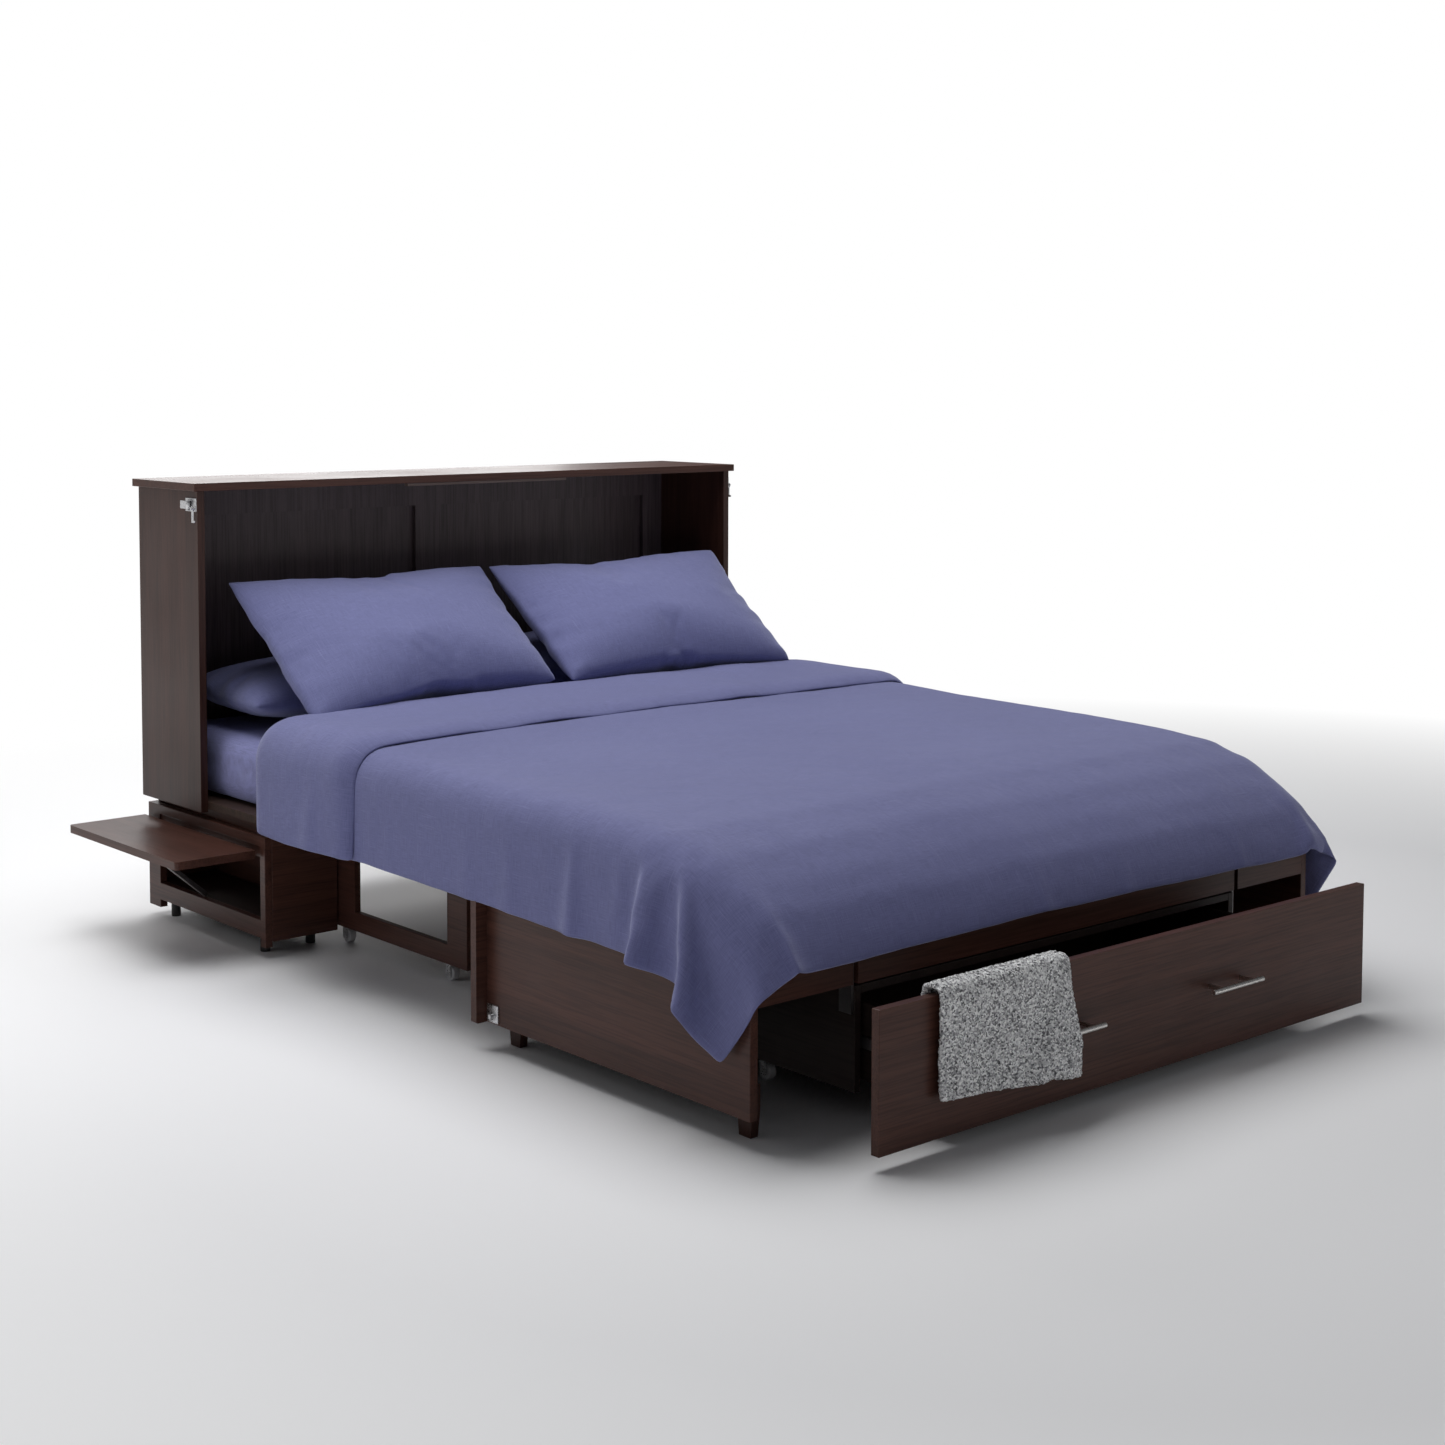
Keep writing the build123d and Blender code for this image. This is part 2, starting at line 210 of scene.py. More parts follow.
def woven(name, colour, kind, wrinkle):
    """Linen-like plain weave with slubs, in coordinates that are in metres."""
    dark = tuple(c * 0.86 for c in colour)
    light = tuple(min(1, c * 1.13) for c in colour)
    s = Shader(name, colour, 0.82, Specular_IOR_Level=0.22, Sheen_Weight=0.32, Sheen_Roughness=0.45)
    s.surface.inputs["Sheen Tint"].default_value = (0.83, 0.85, 1, 1)
    warp = s.noise((900, 34, 34), 1.0, 2, 0.6, kind)
    weft = s.noise((34, 900, 900), 1.0, 2, 0.6, kind)
    threads = s.math("ADD", warp, weft)
    tone = s.ramp(s.remap(threads, 0.7, 1.3, 0, 1), [(0.2, dark), (0.5, colour), (0.85, light)])
    slub_a = s.noise((420, 9, 9), 1.0, 1, 0.5, kind)
    slub_b = s.noise((9, 420, 420), 1.0, 1, 0.5, kind)
    slubs = s.ramp(s.math("MAXIMUM", slub_a, slub_b), [(0.66, (1, 1, 1)), (0.76, (1.22, 1.22, 1.15))])
    cloud = s.ramp(s.noise((2.2, 2.2, 2.2), 1.0, 3, 0.5),
                   [(0.3, (0.94, 0.94, 0.95)), (0.7, (1.04, 1.04, 1.03))])
    s.put("Base Color", s.multiply(s.multiply(tone, slubs), cloud))
    normal = s.bump(threads, 0.0006, 0.5)
    crease = s.noise((9, 9, 9), 1.0, 5, 0.55, distort=1.2)
    normal = s.bump(crease, wrinkle, 0.6, normal)
    s.put("Normal", normal)
    return s.material


def metal(name, colour, rough, grain=(900, 30, 30)):
    s = Shader(name, colour, rough, Metallic=1.0)
    brush = s.noise(grain, 1.0, 2, 0.6)
    s.put("Roughness", s.remap(brush, 0.3, 0.7, rough - 0.08, rough + 0.1))
    s.put("Normal", s.bump(brush, 0.0001, 0.3))
    return s.material


def plastic(name, colour, rough):
    s = Shader(name, colour, rough, Specular_IOR_Level=0.5)
    skin = s.noise((700, 700, 700), 1.0, 2, 0.5)
    s.put("Roughness", s.remap(skin, 0.3, 0.7, rough - 0.05, rough + 0.06))
    s.put("Normal", s.bump(skin, 0.00015, 0.3))
    return s.material


def boucle(name):
    s = Shader(name, (0.3, 0.3, 0.3), 0.95, Specular_IOR_Level=0.1, Sheen_Weight=0.3)
    cells = s.nodes.new("ShaderNodeTexVoronoi")
    cells.inputs["Scale"].default_value = 330
    cells.inputs["Randomness"].default_value = 1
    s.links.new(s.coords((1, 1, 1)), cells.inputs["Vector"])
    grey = s.nodes.new("ShaderNodeSeparateColor")
    s.links.new(cells.outputs["Color"], grey.inputs[0])
    tone = s.ramp(grey.outputs[0], [
        (0.0, (0.08, 0.08, 0.085)), (0.15, (0.24, 0.24, 0.25)), (0.4, (0.5, 0.5, 0.51)),
        (0.65, (0.72, 0.72, 0.73)), (0.85, (0.95, 0.95, 0.94)), (1.0, (1.0, 1.0, 1.0))])
    s.put("Base Color", tone)
    s.put("Normal", s.bump(cells.outputs["Distance"], 0.002, 0.7))
    return s.material


ESPRESSO = (0.078, 0.033, 0.024)
DENIM = (0.150, 0.158, 0.325)
M = {
    "wood_x": wood("espresso_along_x", ESPRESSO, grain="x"),
    "wood_y": wood("espresso_along_y", ESPRESSO, grain="y"),
    # Side panels and lid legs get the espresso colour darkened to 0.72: painted shade on the sideways-facing
    # faces.
    "wood_z": wood("espresso_along_z_painted_shade", tuple(c * 0.72 for c in ESPRESSO), grain="z"),
    # The back panel is lighter and bluer than the espresso wood: painted glare and painted bounce light from
    # the pillows.
    "back": wood("espresso_back_painted_glare", (0.095, 0.072, 0.077), 0.42, grain="z"),
    # The finger pull is lighter than the other wood: a painted highlight along the pull's edge.
    "pull": wood("pull_painted_highlight", (0.17, 0.125, 0.105), 0.4, grain="x"),
    "carcass": wood("carcass_board", (0.026, 0.017, 0.015), 0.5, grain="y"),
    "deck": wood("deck_board", (0.06, 0.036, 0.027), 0.55, grain="x"),
    "nickel": metal("brushed_nickel", (0.74, 0.72, 0.69), 0.3),
    "steel": metal("zinc_plate", (0.62, 0.62, 0.63), 0.28, (300, 300, 300)),
    "brace": metal("dark_steel", (0.16, 0.15, 0.15), 0.42, (300, 300, 300)),
    "wheel": plastic("caster_plastic", (0.62, 0.62, 0.63), 0.38),
    "glide": plastic("black_plastic", (0.018, 0.018, 0.018), 0.5),
    "comforter": woven("comforter_weave", DENIM, "UV", 0.004),
    "pillow": woven("pillowcase_weave", (0.160, 0.170, 0.345), "UV", 0.002),
    # The fitted sheet is nearly twice as bright as the comforter and pillow fabric: painted light on its side
    # near the head.
    "sheet": woven("sheet_weave_painted_light", (0.27, 0.28, 0.54), "Object", 0.002),
    "ticking": woven("mattress_ticking", (0.62, 0.61, 0.58), "Object", 0.003),
    "throw": boucle("throw_boucle"),
}
BY_NODE = {
    "pull": ["finger_pull"],
    "wood_x": ["top_board", "drawer_front", "lid_end_board", "foot_rail", "pod_front_panels",
               "pod_rear_panels"],
    "wood_y": ["deck_side_boards", "lid_side_left", "lid_side_right", "pod_frame_left", "pod_frame_right",
               "pod_inner_panels", "shelf_left", "shelf_right", "mid_frame_left", "mid_frame_right"],
    "wood_z": ["side_panel_left", "side_panel_right", "lid_legs"],
    "back": ["back_panel", "back_frame"],
    "carcass": ["base_sides", "base_cross_rails", "drawer_sides", "drawer_back", "drawer_bottom", "pod_floors"],
    "deck": ["head_deck", "lid_deck", "mid_deck"],
    "nickel": ["handle_left", "handle_right"],
    "steel": ["latch_plates", "latch_catches", "latch_lever_left", "latch_lever_right", "latch_hook_left",
              "latch_hook_right", "base_caster_forks", "mid_caster_forks"],
    "brace": ["brace_left", "brace_right", "shelf_hinges", "lid_pivots", "runner_outers", "runner_inners"],
    "wheel": ["base_wheels_front", "base_wheels_rear", "mid_wheels_front", "mid_wheels_rear"],
    "glide": ["pod_feet"],
}


EDGE_WOOD, EDGE_METAL = 0.0012, 0.0003  # edge radii


def dress_cad():
    for key, names in BY_NODE.items():
        for name in names:
            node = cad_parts[name]
            node.data.materials.clear()
            node.data.materials.append(M[key])
            weld = node.modifiers.new("weld", "WELD")
            weld.merge_threshold = 0.00002
            edge = node.modifiers.new("edge", "BEVEL")
            edge.width = EDGE_METAL if key in ("steel", "nickel", "brace", "wheel") else EDGE_WOOD
            edge.segments = 2
            edge.limit_method = "ANGLE"
            edge.angle_limit = math.radians(40)


# ---------------------------------------------------------------- mesh helpers
def mesh_object(name, verts, faces, uv=None):
    data = bpy.data.meshes.new(name)
    data.from_pydata([tuple(v) for v in verts], [], faces)
    if uv is not None:
        layer = data.uv_layers.new(name="metres")
        loops = np.array([uv[loop.vertex_index] for loop in data.loops], float)
        layer.data.foreach_set("uv", loops.ravel())
    data.polygons.foreach_set("use_smooth", [True] * len(data.polygons))
    data.update()
    item = bpy.data.objects.new(name, data)
    scene.collection.objects.link(item)
    return item


def grid_faces(rows, cols, flip=False):
    faces = []
    for i in range(rows - 1):
        for j in range(cols - 1):
            a = i * cols + j
            face = (a, a + 1, a + cols + 1, a + cols)
            faces.append(face[::-1] if flip else face)
    return faces


def positions(item):
    co = np.empty(len(item.data.vertices) * 3)
    item.data.vertices.foreach_get("co", co)
    return co.reshape(-1, 3)


def move_to(item, co):
    item.data.vertices.foreach_set("co", np.asarray(co, float).ravel())
    item.data.update()


def simulate(item, frames, **settings):
    """Runs cloth on item and leaves the last frame's shape in its mesh."""
    cloth = item.modifiers.new("cloth", "CLOTH")
    values = cloth.settings
    collide = cloth.collision_settings
    for key, value in settings.items():
        if key == "gravity":
            values.effector_weights.gravity = value
        elif hasattr(collide, key):
            setattr(collide, key, value)
        else:
            setattr(values, key, value)
    cloth.point_cache.frame_start = 1
    cloth.point_cache.frame_end = frames
    for step in range(1, frames + 1):
        scene.frame_set(step)
    shape = item.evaluated_get(bpy.context.evaluated_depsgraph_get())
    co = np.empty(len(shape.data.vertices) * 3)
    shape.data.vertices.foreach_get("co", co)
    item.modifiers.remove(cloth)
    move_to(item, co.reshape(-1, 3))
    scene.frame_set(1)


def subdivide(item, levels=1):
    smooth = item.modifiers.new("smooth", "SUBSURF")
    smooth.levels = smooth.render_levels = levels


def rounded_box(name, lo, hi, radius, step):
    """A box with rounded edges, its surface divided into squares of about step."""
    lo, hi = np.array(lo, float), np.array(hi, float)
    bm = bmesh.new()
    for axis in range(3):
        u, v = [k for k in range(3) if k != axis]
        nu = max(3, round((hi[u] - lo[u]) / step))
        nv = max(3, round((hi[v] - lo[v]) / step))
        for level in (lo[axis], hi[axis]):
            rows = []
            for a in np.linspace(lo[u], hi[u], nu + 1):
                row = []
                for b in np.linspace(lo[v], hi[v], nv + 1):
                    point = np.zeros(3)
                    point[axis], point[u], point[v] = level, a, b
                    row.append(bm.verts.new(point))
                rows.append(row)
            for i in range(nu):
                for j in range(nv):
                    bm.faces.new((rows[i][j], rows[i + 1][j], rows[i + 1][j + 1], rows[i][j + 1]))
    bmesh.ops.remove_doubles(bm, verts=bm.verts, dist=1e-5)
    bmesh.ops.recalc_face_normals(bm, faces=bm.faces)
    for vert in bm.verts:
        point = np.array(vert.co)
        core = np.clip(point, lo + radius, hi - radius)
        away = point - core
        length = np.linalg.norm(away)
        if length > 1e-9:
            vert.co = core + away / length * radius
    data = bpy.data.meshes.new(name)
    bm.to_mesh(data)
    bm.free()
    data.polygons.foreach_set("use_smooth", [True] * len(data.polygons))
    item = bpy.data.objects.new(name, data)
    scene.collection.objects.link(item)
    return item


def wave(x, y, z, size, seed):
    return noise.noise(Vector((x / size + seed, y / size - seed, z / size + 2 * seed)))


def at(points):
    """Points given with y from the cabinet's front edge, moved to the row frame."""
    points = np.array(points, float)
    points[..., 1] += SPLIT
    return points


def finish_soft(item, material, slot, body, *nodes):
    item.data.materials.append(M[material])
    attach(item, body)
    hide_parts(*nodes)


# ---------------------------------------------------------------- mattress and fitted sheet
def make_mattress():
    lo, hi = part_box("mattress")
    core = rounded_box("mattress_core", lo + Vector((0.004,) * 3), hi - Vector((0.004,) * 3), 0.03, 0.05)
    co = positions(core)
    for k, (x, y, z) in enumerate(co):
        co[k, 2] += 0.0015 * wave(x, y, z, 0.12, 3.1)
    move_to(core, co)
    subdivide(core)
    finish_soft(core, "ticking", "sheet_fabric", "cabinet", "mattress")
    lo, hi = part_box("fitted_sheet")
    skin = rounded_box("fitted_sheet_cover", lo, hi, 0.042, 0.018)
    bm = bmesh.new()
    bm.from_mesh(skin.data)
    under = [f for f in bm.faces if f.calc_center_median().z < lo.z + 0.004 and f.normal.z < -0.5]
    bmesh.ops.delete(bm, geom=under, context="FACES")
    bm.to_mesh(skin.data)
    bm.free()
    co = positions(skin)
    for k, (x, y, z) in enumerate(co):
        side = min(1.0, max(0.0, (abs(x) - 0.70) / 0.05))
        low = min(1.0, max(0.0, (hi.z - z) / 0.12))
        drop = 0.0035 * noise.noise(Vector((x * 1.5, y * 13, z * 2.2 + 4)))
        drop += 0.0018 * noise.noise(Vector((x * 3, y * 34, z * 5)))
        corner = math.exp(-((y - hi.y + 0.02) / 0.16) ** 2)
        co[k, 0] += math.copysign(1, x) * side * (drop * (0.5 + low) * (1 + 1.3 * corner) - 0.003)
        co[k, 2] += (1 - side) * 0.0025 * wave(x, y, z, 0.2, 1.7)
    move_to(skin, co)
    thick = skin.modifiers.new("thickness", "SOLIDIFY")
    thick.thickness = 0.0015
    thick.offset = 0
    subdivide(skin)
    finish_soft(skin, "sheet", "sheet_fabric", "cabinet", "fitted_sheet")
    for item in (core, skin):
        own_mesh(item)


# ---------------------------------------------------------------- pillows
PILLOW_FRAMES = 26
SEWN_SHARE = 0.72  # how far an inflated outline goes back to the sewn shape


def pillow_shape(name, width, height, seed, pressure, cell=0.0145):
    """A sewn envelope blown up from flat, which puckers its seams as a filled pillowcase does."""
    nu, nv = round(width / cell) + 1, round(height / cell) + 1
    u = np.linspace(-width / 2, width / 2, nu)
    v = np.linspace(-height / 2, height / 2, nv)
    index = -np.ones((nu, nv), int)
    verts, uv = [], []
    for i in range(nu):
        for j in range(nv):
            index[i, j] = len(verts)
            edge = min(i, nu - 1 - i, j, nv - 1 - j)
            lift = 0.004 * min(edge, 3) + 0.0015 * wave(u[i], v[j], 0, 0.05, seed)
            verts.append((u[i], v[j], lift if edge else 0.0))
            uv.append((u[i], v[j]))
    faces = [tuple(index[a, b] for a, b in ((i, j), (i + 1, j), (i + 1, j + 1), (i, j + 1)))
             for i in range(nu - 1) for j in range(nv - 1)]
    back = index.copy()
    for i in range(1, nu - 1):
        for j in range(1, nv - 1):
            back[i, j] = len(verts)
            edge = min(i, nu - 1 - i, j, nv - 1 - j)
            verts.append((u[i], v[j], -0.004 * min(edge, 3)))
            uv.append((u[i], v[j]))
    faces += [tuple(back[a, b] for a, b in ((i, j), (i, j + 1), (i + 1, j + 1), (i + 1, j)))
              for i in range(nu - 1) for j in range(nv - 1)]
    item = mesh_object(name, verts, faces, uv)
    simulate(item, PILLOW_FRAMES, quality=5, mass=0.25, gravity=0.0, use_pressure=True,
             uniform_pressure_force=pressure, tension_stiffness=18, compression_stiffness=14,
             shear_stiffness=8, bending_stiffness=0.25, use_collision=False, use_self_collision=False)
    return item


def flat_shape(item):
    """The place of every vertex in the flat, unfilled pillowcase."""
    flat = np.zeros((len(item.data.vertices), 2))
    layer = item.data.uv_layers["metres"].data
    for loop in item.data.loops:
        flat[loop.vertex_index] = layer[loop.index].uv
    return flat


def place_pillow(item, corners, thickness, slump=0.15, sag=0.0, droop=0.0):
    """Maps the pillow onto four corners (top left, top right, bottom right, bottom left)."""
    tl, tr, br, bl = (np.array(c, float) for c in at(corners))
    co = positions(item)
    co[:, :2] = co[:, :2] * (1 - SEWN_SHARE) + flat_shape(item) * SEWN_SHARE
    lo, hi = co.min(0), co.max(0)
    s = ((co[:, 0] - lo[0]) / (hi[0] - lo[0]))[:, None]
    t = ((co[:, 1] - lo[1]) / (hi[1] - lo[1]))[:, None]
    x, y = np.clip(s[:, 0] * 2 - 1, -1, 1), np.clip(t[:, 0] * 2 - 1, -1, 1)
    swell = np.sqrt(np.clip((1 - np.abs(x) ** 3.2) * (1 - np.abs(y) ** 3.2), 0, 1)) * np.sign(co[:, 2]) / 2
    w = (co[:, 2] / (hi[2] - lo[2]) * 0.6 + swell * 0.4) * thickness
    for k in range(len(w)):
        near_end = math.exp(-(1 - abs(x[k])) * 7) * min(1.0, (1 - abs(x[k])) * 12)
        near_long = math.exp(-(1 - abs(y[k])) * 5) * min(1.0, (1 - abs(y[k])) * 8)
        pucker = 0.011 * near_end * wave(0.02 * x[k], y[k], thickness, 0.16, 1.9 + corners[0][0])
        pucker += 0.008 * near_long * wave(x[k], 0.02 * y[k], thickness, 0.11, 4.6 + corners[0][0])
        w[k] += pucker
    w = w[:, None]
    base = (bl * (1 - s) + br * s) * (1 - t) + (tl * (1 - s) + tr * s) * t
    normal = np.cross((br - bl) + (tr - tl), (tl - bl) + (tr - br))
    normal /= np.linalg.norm(normal)
    w = w * (1 + slump * (0.5 - t) * 2)
    base = base + normal * w
    base[:, 2:] -= sag * 4 * t * (1 - t) + droop * (1 - t) ** 2
    move_to(item, base)


PILLOWS = {
    "pillow_rear_left": dict(
        corners=[(-0.735, 0.26, 0.550), (-0.02, 0.26, 0.552), (-0.02, -0.12, 0.548), (-0.735, -0.12, 0.545)],
        thickness=0.156, slump=0.0, sag=-0.004),
    "pillow_rear_right": dict(
        corners=[(0.02, 0.26, 0.552), (0.735, 0.26, 0.550), (0.735, -0.12, 0.545), (0.02, -0.12, 0.548)],
        thickness=0.156, slump=0.0, sag=-0.004),
    "pillow_front_left": dict(
        corners=[(-0.722, 0.040, 0.820), (-0.012, 0.025, 0.818),
                 (-0.004, -0.290, 0.572), (-0.722, -0.352, 0.541)],
        thickness=0.172, slump=0.22, sag=0.012, droop=0.012),
    "pillow_front_right": dict(
        corners=[(0.006, 0.030, 0.815), (0.706, -0.035, 0.826), (0.722, -0.340, 0.560), (0.022, -0.310, 0.566)],
        thickness=0.172, slump=0.22, sag=0.012, droop=0.012),
}


def make_pillows():
    for k, (name, place) in enumerate(PILLOWS.items()):
        rear = "rear" in name
        item = pillow_shape(name.replace("pillow", "pillowcase"), 0.74, 0.44 if rear else 0.50, 2.3 + 3.7 * k,
                            5.5 if rear else 4.5)
        place_pillow(item, **place)
        subdivide(item)
        finish_soft(item, "pillow", "pillow_fabric", "cabinet", name)


# ---------------------------------------------------------------- comforter
COVER_WIDTH = 2.03
COVER_LENGTH = 1.71
BAND = 0.39
CELL = 0.02
HEAD_EDGE = -0.278
DROP_HEIGHT = 0.545
COVER_FRAMES, QUICK_FRAMES = 62, 8
FORM_FOOT = 0.205  # height of the drop form's lower edge


def bed_profile(y):
    """Height of the stuffed bed under the comforter at depth y."""
    knots = [(-2.0, 0.20), (-1.905, 0.22), (-1.885, 0.31), (-1.85, 0.375), (-1.80, 0.42), (-1.73, 0.459),
             (-1.63, 0.487), (-1.5, 0.5), (-1.2, 0.505), (-0.9, 0.508), (-0.6, 0.512), (-0.2, 0.512)]
    return float(np.interp(y, [k[0] for k in knots], [k[1] for k in knots]))


def make_bed_form():
    """The shape that the comforter is dropped on: the mattress with the comforter's own loft."""
    radius = 0.055
    half = 0.806
    section = [(-half, z) for z in (-1.0, -0.20, -0.12)]
    for a in np.linspace(180, 90, 8):
        turn = math.radians(a)
        section.append((-half + radius + radius * math.cos(turn), -radius + radius * math.sin(turn)))
    section += [(x, 0.0) for x in np.linspace(-half + radius, half - radius, 40)[1:-1]]
    for a in np.linspace(90, 0, 8):
        turn = math.radians(a)
        section.append((half - radius + radius * math.cos(turn), -radius + radius * math.sin(turn)))
    section += [(half, z) for z in (-0.12, -0.20, -1.0)]
    depths = np.concatenate([np.linspace(-0.15, -1.6, 36), np.linspace(-1.63, -1.905, 20)])
    verts = []
    for y in depths:
        top = bed_profile(y)
        narrow = 0.03 * max(0.0, (-1.70 - y) / 0.2) ** 2
        for x, z in section:
            crown = 0.010 * (1 - (x / half) ** 2)
            height = max(FORM_FOOT, top + z + crown)
            verts.append((x * (1 - narrow), y, height if z > -0.9 else FORM_FOOT))
    cols = len(section)
    faces = grid_faces(len(depths), cols, flip=True)
    form = mesh_object("bed_form", at(verts), faces)
    form.modifiers.new("collision", "COLLISION")
    form.collision.thickness_outer = 0.006
    form.collision.cloth_friction = 45
    return form


def drape_cover(form):
    nu = round(COVER_WIDTH / CELL) + 1
    nv = round(COVER_LENGTH / CELL) + 1
    xs = np.linspace(-COVER_WIDTH / 2, COVER_WIDTH / 2, nu)
    ys = HEAD_EDGE - np.linspace(0, COVER_LENGTH, nv)
    verts = []
    for x in xs:
        for y in ys:
            lift = 0.002 * wave(x, y, 0, 0.11, 5.3)
            verts.append((x, y, DROP_HEIGHT + lift))
    item = mesh_object("cover_drop", at(verts), grid_faces(nu, nv, flip=True))
    group = item.vertex_groups.new(name="hold")
    hold = [i * nv for i in range(nu) if abs(xs[i]) < 0.70]
    group.add(hold, 1.0, "REPLACE")
    frames = COVER_FRAMES
    simulate(item, frames, quality=7, mass=0.32, air_damping=2.2, tension_stiffness=28,
             compression_stiffness=28, shear_stiffness=14, bending_stiffness=0.8, bending_damping=0.8,
             tension_damping=8, distance_min=0.006, collision_quality=3, use_self_collision=False)
    co = positions(item).reshape(nu, nv, 3)
    bpy.data.objects.remove(item)
    bpy.data.objects.remove(form)
    return co


def normals_of(co):
    du = np.gradient(co, axis=0)
    dv = np.gradient(co, axis=1)
    normal = np.cross(dv, du)
    normal /= np.linalg.norm(normal, axis=2, keepdims=True) + 1e-12
    return normal


def make_comforter():
    co = drape_cover(make_bed_form())
    nu, nv, _ = co.shape
    normal = normals_of(co)
    if normal[nu // 2, nv // 2, 2] < 0:
        normal = -normal
    for _ in range(6):
        normal[1:-1, 1:-1] = (normal[1:-1, 1:-1] * 2 + normal[:-2, 1:-1] + normal[2:, 1:-1]
                              + normal[1:-1, :-2] + normal[1:-1, 2:]) / 6
    normal /= np.linalg.norm(normal, axis=2, keepdims=True)
    for i in range(nu):
        for j in range(nv):
            x, y, z = co[i, j]
            flare = max(0.0, x - 0.72) / 0.12
            flare = flare * max(0.0, SPLIT - 1.62 - y) / 0.25 * max(0.0, 0.44 - z) / 0.18
            co[i, j] += np.array((0.026, -0.008, 0.004)) * min(1.0, flare)
    count = round(BAND / CELL)
    band = []
    for j in range(count, -1, -1):
        away = j * CELL
        loft = 0.021 * math.sqrt(max(0.0, 1 - max(0.0, 1 - away / 0.045) ** 2))
        roll = max(0.0, (away - (BAND - 0.045)) / 0.045)
        loft = loft * (1 - 0.55 * roll ** 2) + 0.004 * math.sin(math.pi * min(1.0, away / BAND))
        row = co[:, j] + normal[:, j] * loft
        for i in range(nu):
            x, y, z = row[i]
            row[i] += normal[i, j] * 0.004 * wave(x, y, z, 0.14, 7.7) * min(1.0, away / 0.05)
        band.append(row)
    turned = np.array(band)
    turned[-1, :, 1] += 0.012
    cover = np.transpose(co, (1, 0, 2))[1:]
    everything = np.concatenate([turned, cover])
    rows, cols = everything.shape[:2]
    flat = everything.reshape(-1, 3)
    uv = [(c * CELL, r * CELL) for r in range(rows) for c in range(cols)]
    for k, (x, y, z) in enumerate(flat):
        flat[k, 2] += 0.0035 * wave(x, y, z, 0.22, 9.1) + 0.0012 * wave(x, y, z, 0.05, 2.9)
    item = mesh_object("comforter_cover", flat, grid_faces(rows, cols), uv)
    thick = item.modifiers.new("thickness", "SOLIDIFY")
    thick.thickness = 0.006
    thick.offset = 0
    subdivide(item)
    finish_soft(item, "comforter", "comforter_fabric", "cabinet", "comforter")
    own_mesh(item)


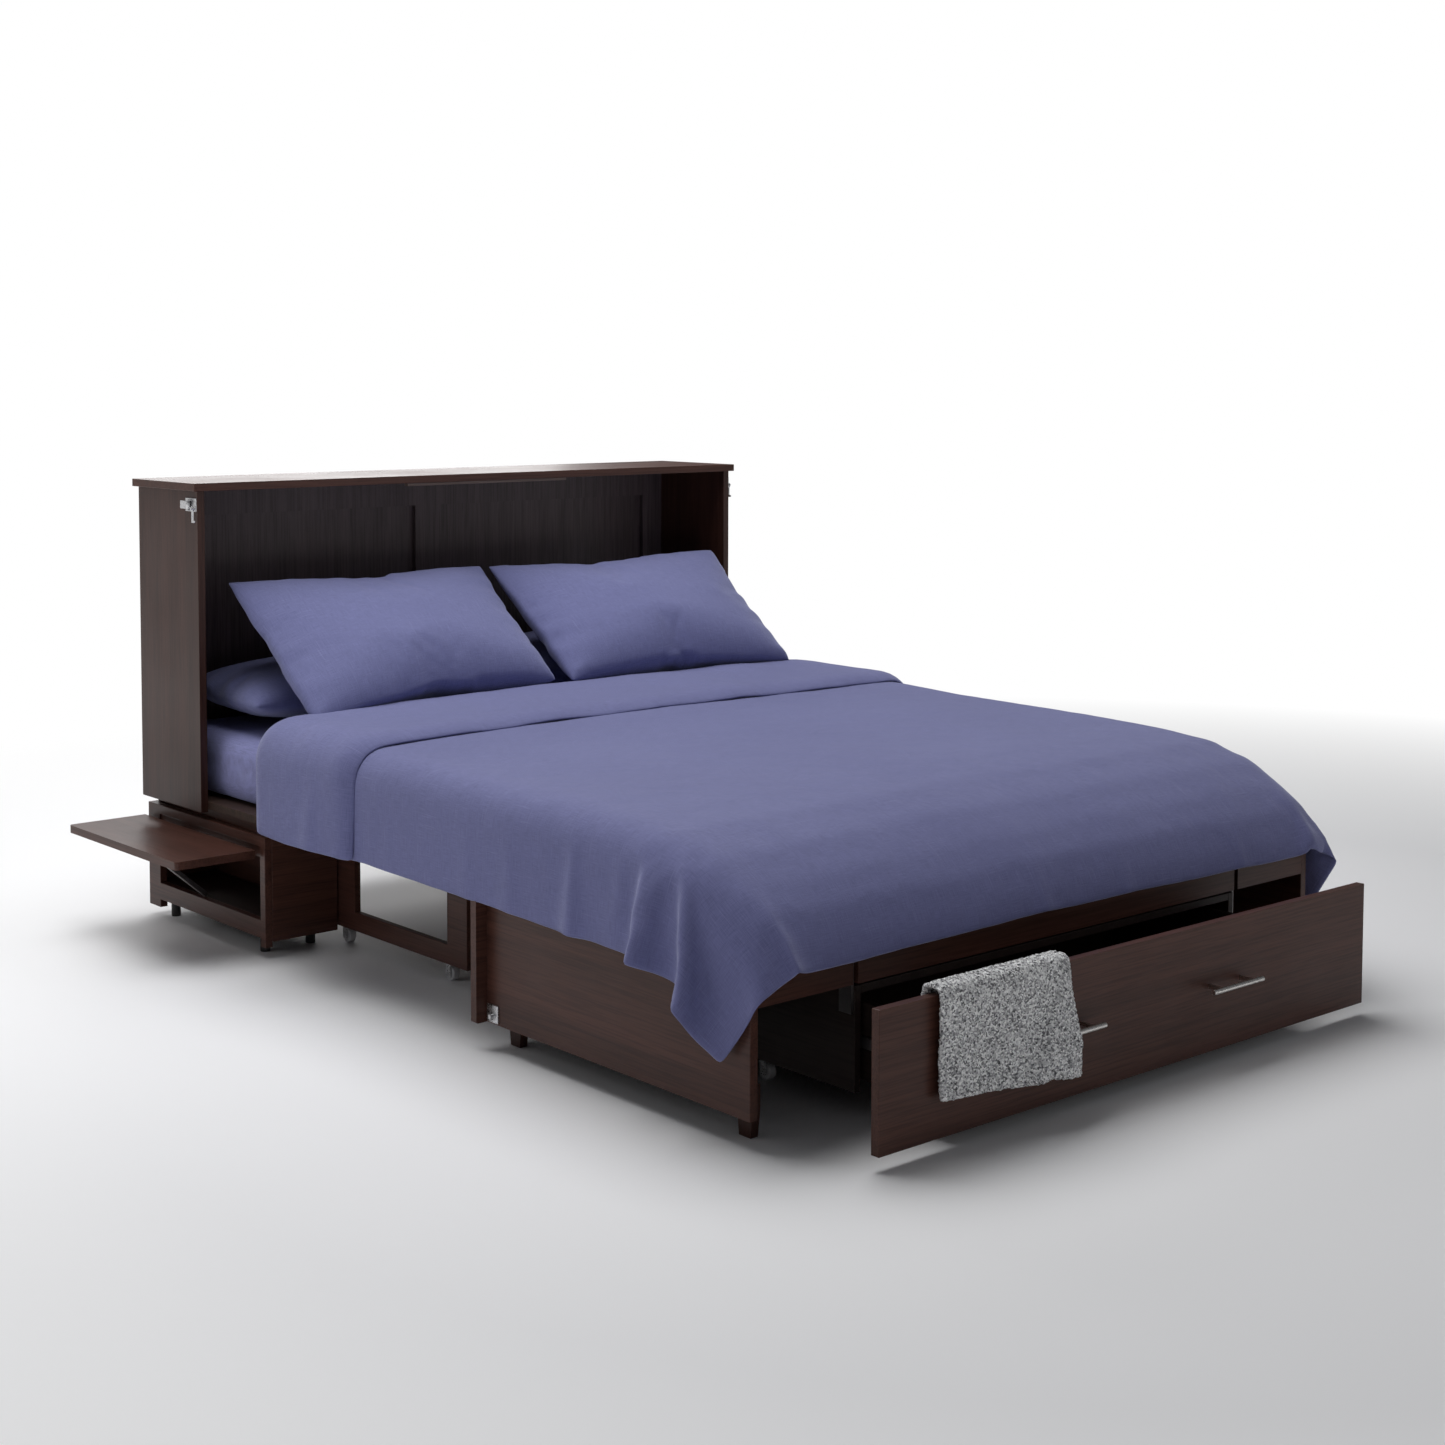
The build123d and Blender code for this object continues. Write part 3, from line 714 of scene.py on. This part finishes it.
# ---------------------------------------------------------------- throw
def make_throw():
    lo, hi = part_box("throw")
    face_lo, face_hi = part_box("drawer_front")
    colliders = []
    for name in ("drawer_front", "handle_left"):
        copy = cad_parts[name].copy()
        copy.data = copy.data.copy()
        copy.parent = None
        copy.name = "hit_" + name
        copy.modifiers.clear()
        scene.collection.objects.link(copy)
        copy.modifiers.new("collision", "COLLISION")
        copy.collision.thickness_outer = 0.006
        copy.collision.cloth_friction = 20
        colliders.append(copy)
    cell = 0.0125
    width = hi.x - lo.x - 0.014
    front, inside = 0.196, 0.125
    nu = round(width / cell) + 1
    path = [(face_hi.y + 0.010, face_hi.z + 0.008 - d) for d in np.arange(inside, 0, -cell)]
    crest = [((face_lo.y + face_hi.y) / 2 + 0.016 * math.cos(a), face_hi.z + 0.008 + 0.008 * math.sin(a))
             for a in np.linspace(0, math.pi, 5)]
    slope = [(face_lo.y - 0.010 - 0.26 * d, face_hi.z + 0.006 - 0.96 * d)
             for d in np.arange(cell, front + 0.001, cell)]
    line = path + crest + slope
    xs = np.linspace(lo.x + 0.007, hi.x - 0.007, nu)
    verts = [(x, y, z) for x in xs for y, z in line]
    nv = len(line)
    uv = [(i * cell, j * cell) for i in range(nu) for j in range(nv)]
    item = mesh_object("throw_cloth", verts, grid_faces(nu, nv), uv)
    group = item.vertex_groups.new(name="hold")
    top = len(path) + 2
    group.add([i * nv + j for i in range(nu) for j in (top - 1, top, top + 1)], 1.0, "REPLACE")
    simulate(item, 30, quality=6, mass=0.4, air_damping=3, tension_stiffness=20, compression_stiffness=20,
             shear_stiffness=10, bending_stiffness=2.5, distance_min=0.004, vertex_group_mass="hold",
             collision_quality=3, use_self_collision=False)
    for copy in colliders:
        bpy.data.objects.remove(copy)
    co = positions(item)
    for k, (x, y, z) in enumerate(co):
        below = max(0.0, face_hi.z - z)
        if y < face_lo.y:
            co[k, 1] -= 0.006 + 0.010 * wave(x, 0, z, 0.09, 4.4) * min(1, below / 0.05)
        co[k, 0] += 0.004 * wave(0, y, z, 0.10, 6.4)
    sides = co.reshape(nu, nv, 3)
    for i in range(nu):
        hung = sides[i, top + 2:]
        high, low = hung[0, 2], hung[:, 2].min()
        goal = 0.096 - 0.012 * i / (nu - 1)
        hung[:, 2] = high - (high - hung[:, 2]) * (high - goal) / (high - low)
    bpy.data.objects.remove(item)
    loops = bpy.data.textures.new("loops", "CLOUDS")
    loops.noise_scale = 0.0045
    loops.noise_depth = 2
    # One cloth in two pieces that meet on the drawer front's edge: only the part inside flattens.
    half_crest = 0.022
    halves = (("throw_cloth", top, nv - 1, front + half_crest), ("throw_flap", 0, top, inside + half_crest))
    for name, first, last, length in halves:
        part = sides[:, first:last + 1]
        uv = [(i * cell, (first + j) * cell) for i in range(nu) for j in range(last + 1 - first)]
        piece = mesh_object(name, part.reshape(-1, 3), grid_faces(nu, last + 1 - first), uv)
        thick = piece.modifiers.new("thickness", "SOLIDIFY")
        thick.thickness = 0.010
        thick.offset = 0
        subdivide(piece, 3)
        pile = piece.modifiers.new("pile", "DISPLACE")
        pile.texture = loops
        pile.texture_coords = "LOCAL"
        pile.strength = 0.006
        pile.mid_level = 0.5
        finish_soft(piece, "throw", "throw_fabric", "drawer", "throw")
    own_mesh(piece)


# ---------------------------------------------------------------- studio
def make_floor():
    s = Shader("studio_floor", (0.93, 0.93, 0.94), 0.6, Specular_IOR_Level=0.12)
    nodes, links = s.nodes, s.links
    place = nodes.new("ShaderNodeTexCoord")
    reach = nodes.new("ShaderNodeVectorMath")
    reach.operation = "DISTANCE"
    reach.inputs[1].default_value = (0.3, -0.6, 0)
    links.new(place.outputs["Object"], reach.inputs[0])
    fade = s.remap(reach.outputs["Value"], 1.9, 4.3, 0, 1)
    speckle = s.noise((60, 60, 60), 1.0, 2)
    s.put("Roughness", s.remap(speckle, 0.3, 0.7, 0.55, 0.65))
    glow = nodes.new("ShaderNodeEmission")
    glow.inputs["Color"].default_value = (1, 1, 1, 1)
    mix = nodes.new("ShaderNodeMixShader")
    out = nodes["Material Output"]
    links.new(fade, mix.inputs[0])
    links.new(s.surface.outputs[0], mix.inputs[1])
    links.new(glow.outputs[0], mix.inputs[2])
    links.new(mix.outputs[0], out.inputs["Surface"])
    r = 25
    floor = mesh_object("floor", [(-r, -r, 0), (r, -r, 0), (r, r, 0), (-r, r, 0)], [(0, 1, 2, 3)])
    floor.location.z = -0.0005
    floor.data.materials.append(s.material)


make_camera()
make_world()
area_light("overhead", (-0.4, 0.9, 3.8), (-0.1, 0.1, 0.3), (3.6, 3.2), 142)
area_light("left_fill", (-3.4, 1.3, 1.7), (-0.8, 0.6, 0.4), (1.8, 1.5), 7)
area_light("behind", (0.6, 4.4, 2.3), (0, -0.5, 0.5), (4.5, 2.0), 75)
area_light("front_fill", (1.5, -5.2, 1.6), (0, -1, 0.3), (3.0, 2.0), 14)
scene.view_settings.view_transform = "Standard"
make_floor()
dress_cad()
make_mattress()
make_pillows()
make_comforter()
make_throw()
